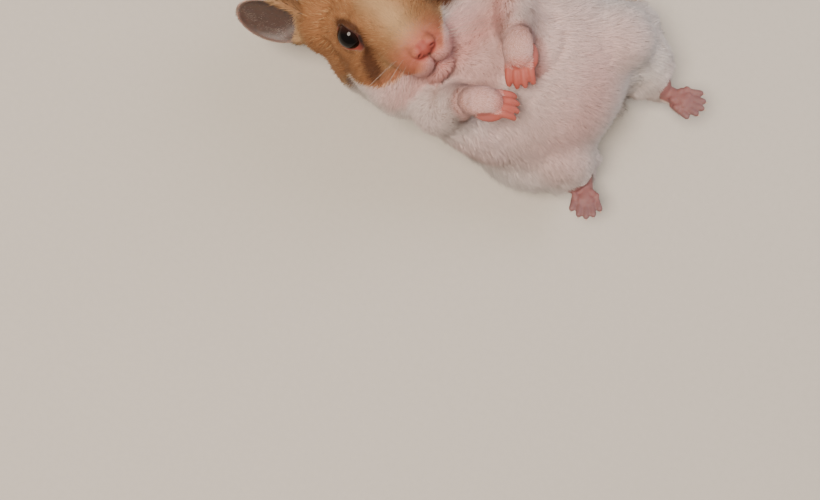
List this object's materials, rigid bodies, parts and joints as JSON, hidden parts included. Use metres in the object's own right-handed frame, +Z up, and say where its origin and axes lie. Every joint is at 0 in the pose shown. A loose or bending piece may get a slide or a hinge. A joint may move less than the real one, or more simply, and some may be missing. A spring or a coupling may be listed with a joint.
{
  "type": "syrian hamster",
  "caption": "Life-size still model of a golden and white Syrian hamster lying on its back, forepaws folded on its breast and hind feet spread.",
  "frame": {"origin": "on the floor, at the centre of the model's bounding box", "axes": "+X from head to tail, +Y to the animal's left, +Z up, out of the belly of the animal as it lies on its back"},
  "size_m": [0.1096, 0.0574, 0.0463],
  "materials": {
    "white_coat": "soft white fur with pink skin faintly showing through",
    "golden_coat": "golden-brown fur, paler at the roots",
    "pink_skin": "bare or thinly haired pink skin",
    "ear_skin": "thin grey-brown ear skin with a fine down",
    "eye": "wet glossy black"
  },
  "bodies": {
    "root": {"head": "golden_coat", "neck": "golden_coat", "trunk": "white_coat", "foreleg_right": "white_coat", "foreleg_left": "white_coat", "hind_leg_right": "white_coat", "hind_leg_left": "white_coat", "forepaw_right": "pink_skin", "forepaw_left": "pink_skin", "hind_foot_right": "pink_skin", "hind_foot_left": "pink_skin", "tail": "pink_skin", "ear_right": "ear_skin", "ear_left": "ear_skin", "eye_right": "eye", "eye_left": "eye"}
  },
  "joints": []
}
